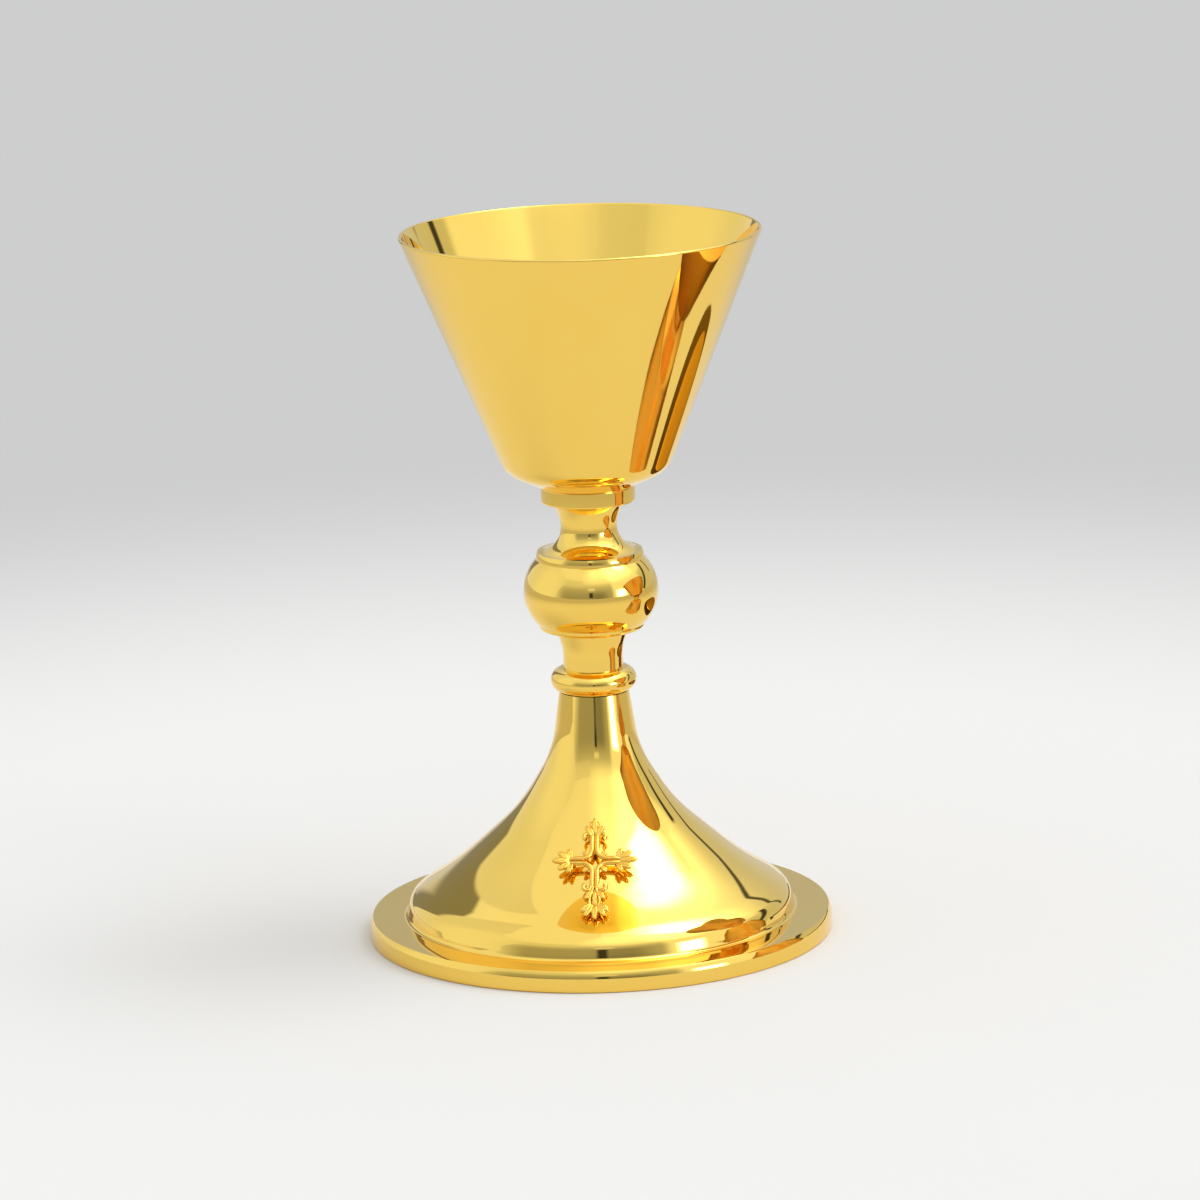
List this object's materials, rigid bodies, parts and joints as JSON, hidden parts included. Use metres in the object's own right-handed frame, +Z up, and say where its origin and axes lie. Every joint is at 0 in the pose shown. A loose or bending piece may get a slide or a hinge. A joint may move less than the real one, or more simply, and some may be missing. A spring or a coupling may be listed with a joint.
{
  "type": "chalice",
  "caption": "Gold-plated altar chalice: conical cup on a turned stem with a barrel knop and bead ring, over a flared round foot with a cast leafy cross.",
  "frame": {"origin": "centre of the foot, on the table", "axes": "+Z up along the stem's axis, the cross faces -Y, +X to the right of someone who faces the cross"},
  "size_m": [0.1308, 0.1308, 0.2],
  "materials": {
    "gold_plate": "mirror polished and gold plated",
    "gold_cast": "cast, polished and gold plated",
    "raw_brass": "plain turned brass",
    "spring_steel": "plain spring steel"
  },
  "bodies": {
    "root": {"cup": "gold_plate", "cup_boss": "raw_brass", "cup_collar": "gold_plate", "upper_neck": "gold_plate", "knop": "gold_plate", "lower_neck": "gold_plate", "bead_ring": "gold_plate", "base_bush": "raw_brass", "base_shell": "gold_plate", "foot_ring": "gold_plate", "tie_rod": "raw_brass", "tie_washer": "raw_brass", "tie_spring_washer": "spring_steel", "tie_nut": "raw_brass", "cross": "gold_cast", "cross_studs": "raw_brass", "cross_washers": "raw_brass", "cross_nuts": "raw_brass"}
  },
  "joints": []
}
